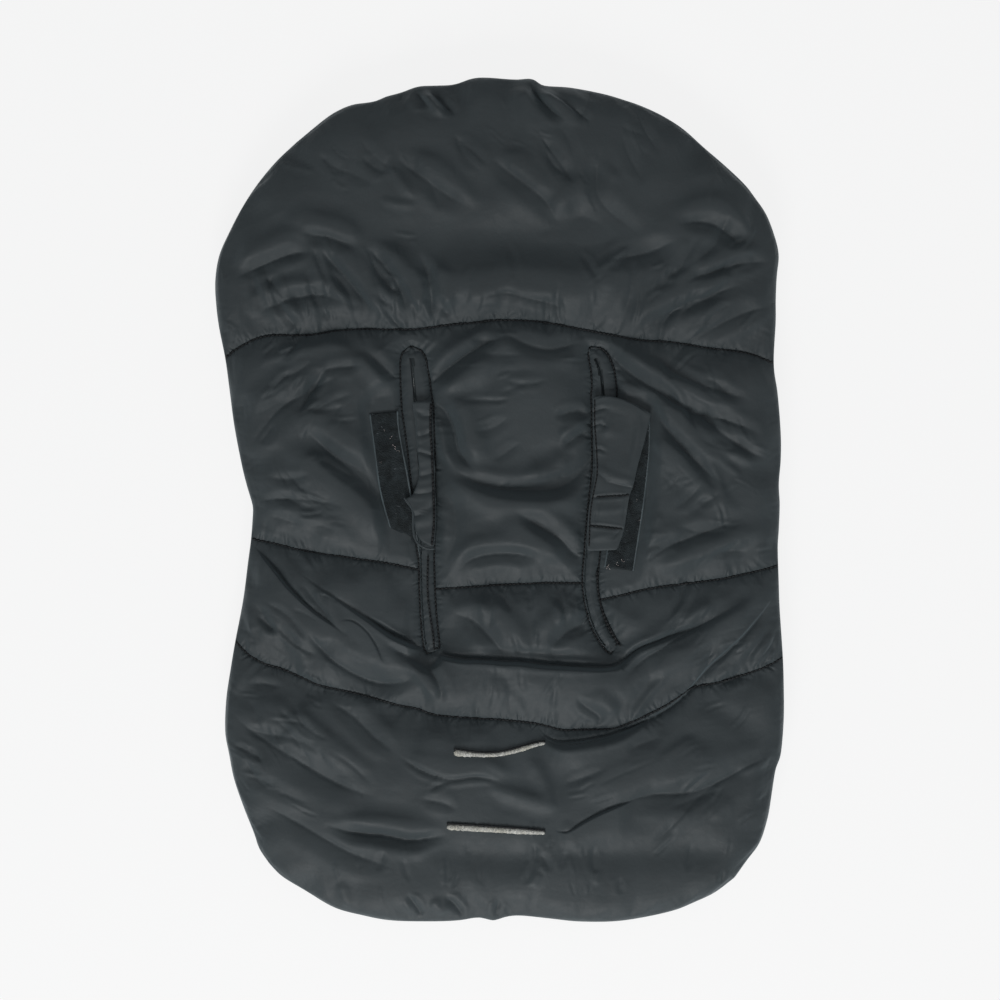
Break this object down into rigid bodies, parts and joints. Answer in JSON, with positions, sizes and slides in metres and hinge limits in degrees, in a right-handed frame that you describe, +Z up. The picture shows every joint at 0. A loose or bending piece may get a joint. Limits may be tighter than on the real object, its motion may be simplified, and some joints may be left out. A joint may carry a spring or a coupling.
{
  "type": "stroller footmuff",
  "caption": "Quilted pushchair footmuff lying on its front cover, with harness slots under hook-and-loop flaps, crotch slots, a padded hood rim and side zips.",
  "frame": {"origin": "middle of the footmuff's plan, on the floor that its front cover rests on", "axes": "+Y to the head end, +Z up out of the back panel, +X to the right as seen from above with the head up"},
  "size_m": [0.4852, 0.7199, 0.043],
  "materials": {
    "nylon": "dark slate nylon, soft satin sheen",
    "wadding": "white polyester wadding",
    "plush": "cream plush",
    "binding": "black grosgrain binding",
    "elastic": "white covered elastic",
    "hook_tape": "black hook and loop tape",
    "zip_tape": "black woven zip tape",
    "zip_teeth": "moulded black plastic",
    "zip_metal": "black enamelled zinc"
  },
  "bodies": {
    "front_cover": {"front_shell": "nylon", "front_wadding": "wadding", "front_lining": "plush", "front_mouth_binding": "binding", "foot_gusset": "nylon", "left_front_tape": "zip_tape", "right_front_tape": "zip_tape", "left_front_teeth": "zip_teeth", "right_front_teeth": "zip_teeth", "left_bottom_stop": "zip_metal", "right_bottom_stop": "zip_metal"},
    "back_panel": {"back_shell": "nylon", "head_wadding": "wadding", "shoulder_wadding": "wadding", "seat_wadding": "wadding", "foot_wadding": "wadding", "back_lining": "plush", "rim_casing": "nylon", "rim_padding": "wadding", "rim_elastic": "elastic", "left_slot_facing": "nylon", "right_slot_facing": "nylon", "left_hook_strip": "hook_tape", "right_hook_strip": "hook_tape", "upper_crotch_binding": "plush", "lower_crotch_binding": "plush", "left_back_tape": "zip_tape", "right_back_tape": "zip_tape", "left_back_teeth": "zip_teeth", "right_back_teeth": "zip_teeth", "left_top_stop": "zip_metal", "right_top_stop": "zip_metal"},
    "left_flap": {"left_flap": "nylon", "left_loop_strip": "hook_tape"},
    "right_flap": {"right_flap": "nylon", "right_loop_strip": "hook_tape"},
    "left_slider": {"left_slider": "zip_metal"},
    "right_slider": {"right_slider": "zip_metal"},
    "left_pull": {"left_pull": "zip_metal"},
    "right_pull": {"right_pull": "zip_metal"}
  },
  "joints": [
    {"name": "back_lift", "type": "hinge", "parent": "front_cover", "child": "back_panel", "pos_m": [0, -0.36, 0.0195], "axis": [1, 0, 0], "range_deg": [0, 110]},
    {"name": "left_flap_turn", "type": "hinge", "parent": "back_panel", "child": "left_flap", "pos_m": [-0.0567, 0.0205, 0.0396], "axis": [0, 1, 0], "range_deg": [0, 160]},
    {"name": "right_flap_turn", "type": "hinge", "parent": "back_panel", "child": "right_flap", "pos_m": [0.0775, 0.0225, 0.0392], "axis": [0, -1, 0], "range_deg": [0, 160]},
    {"name": "left_slide", "type": "slide", "parent": "front_cover", "child": "left_slider", "axis": [0, -1, 0], "range_m": [0, 0.28], "deforming": ["left_front_teeth", "left_back_teeth"]},
    {"name": "right_slide", "type": "slide", "parent": "front_cover", "child": "right_slider", "axis": [0, -1, 0], "range_m": [0, 0.28], "deforming": ["right_front_teeth", "right_back_teeth"]},
    {"name": "left_pull_turn", "type": "hinge", "parent": "left_slider", "child": "left_pull", "pos_m": [-0.2017, 0.03, 0.0195], "axis": [0, 0, -1], "range_deg": [0, 170]},
    {"name": "right_pull_turn", "type": "hinge", "parent": "right_slider", "child": "right_pull", "pos_m": [0.2017, 0.03, 0.0195], "axis": [0, 0, 1], "range_deg": [0, 170]}
  ]
}
